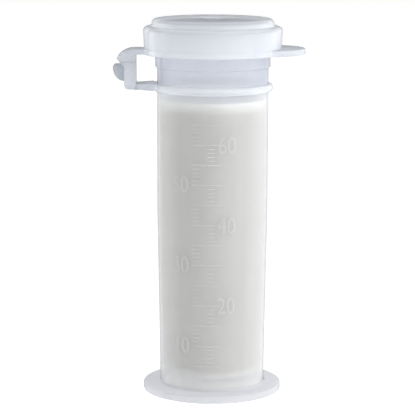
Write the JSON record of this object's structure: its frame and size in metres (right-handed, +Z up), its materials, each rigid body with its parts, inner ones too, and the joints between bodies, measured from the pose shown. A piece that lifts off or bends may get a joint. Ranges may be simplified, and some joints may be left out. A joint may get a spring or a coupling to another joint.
{
  "type": "footed storage tube with tethered snap lid",
  "caption": "Flat-bottomed translucent tube on a round foot, closed by a snap lid on a hinged strap with a thumb tab, graduated in millilitres and filled with a white liquid.",
  "frame": {"origin": "centre of the foot's flat underside", "axes": "+Z up along the tube's axis to the lid, +X to the lid's thumb tab, so the hinged strap is on -X and its hinge axes run along Y"},
  "size_m": [0.0599, 0.0434, 0.1176],
  "materials": {
    "barrel_plastic": "translucent natural polypropylene, polished mould",
    "foot_plastic": "translucent natural polypropylene, polished mould",
    "strap_plastic": "translucent natural polypropylene, satin mould",
    "lid_plastic": "milky translucent natural polypropylene, satin mould",
    "milk": "opaque white liquid"
  },
  "bodies": {
    "tube": {"tube_barrel": "barrel_plastic", "foot_disc": "foot_plastic", "neck_ring": "strap_plastic", "milk_fill": "milk"},
    "link": {"hinge_link": "strap_plastic"},
    "lid": {"lid_cap": "lid_plastic", "plug_seal": "lid_plastic"}
  },
  "joints": [
    {"name": "strap_hinge", "type": "hinge", "parent": "tube", "child": "link", "pos_m": [-0.02375, 0, 0.0957], "axis": [0, -1, 0], "range_deg": [0, 80]},
    {"name": "lid_hinge", "type": "hinge", "parent": "link", "child": "lid", "pos_m": [-0.0288, 0, 0.1041], "axis": [0, -1, 0], "range_deg": [0, 80]}
  ],
  "couplings": [
    {"joint": "strap_hinge", "follows": "lid_hinge", "ratio": 1}
  ]
}
